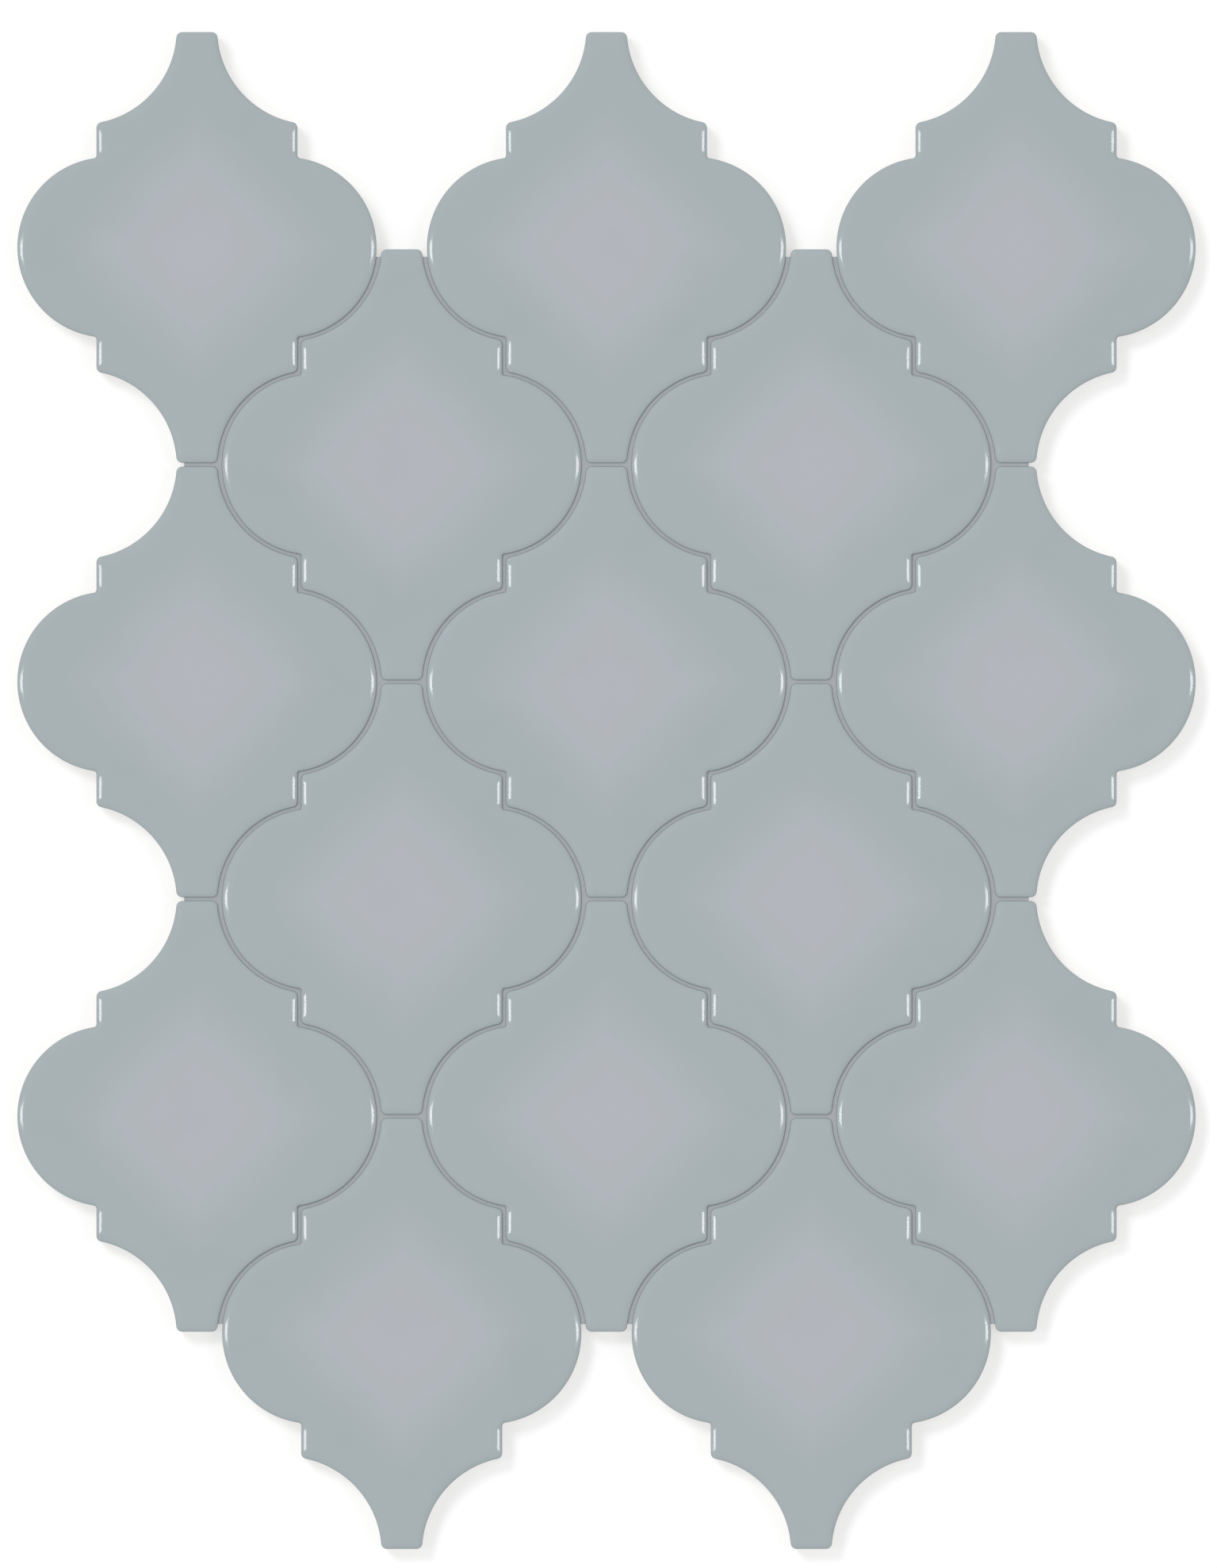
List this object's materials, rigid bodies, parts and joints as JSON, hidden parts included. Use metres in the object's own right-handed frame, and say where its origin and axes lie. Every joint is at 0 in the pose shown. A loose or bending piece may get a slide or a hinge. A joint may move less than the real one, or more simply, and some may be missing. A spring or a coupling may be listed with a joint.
{
  "type": "arabesque mosaic tile sheet",
  "caption": "Interlocking sheet of glazed grey lantern-shaped ceramic tiles in staggered rows, held together by flexible filler in the joints, for facing walls.",
  "frame": {"origin": "middle of the sheet's outline, on the plane of the tile backs", "axes": "+Z out of the glazed faces, +Y up the sheet towards the first row, which has the open tips, +X to the right when the faces are seen"},
  "size_m": [0.25, 0.322, 0.007],
  "materials": {
    "glazed_tile": "gloss",
    "joint_filler": "matte"
  },
  "bodies": {
    "root": {"tile_row1_left": "glazed_tile", "tile_row1_middle": "glazed_tile", "tile_row1_right": "glazed_tile", "tile_row2_left": "glazed_tile", "tile_row2_right": "glazed_tile", "tile_row3_left": "glazed_tile", "tile_row3_middle": "glazed_tile", "tile_row3_right": "glazed_tile", "tile_row4_left": "glazed_tile", "tile_row4_right": "glazed_tile", "tile_row5_left": "glazed_tile", "tile_row5_middle": "glazed_tile", "tile_row5_right": "glazed_tile", "tile_row6_left": "glazed_tile", "tile_row6_right": "glazed_tile", "joint_filler": "joint_filler"}
  },
  "joints": []
}
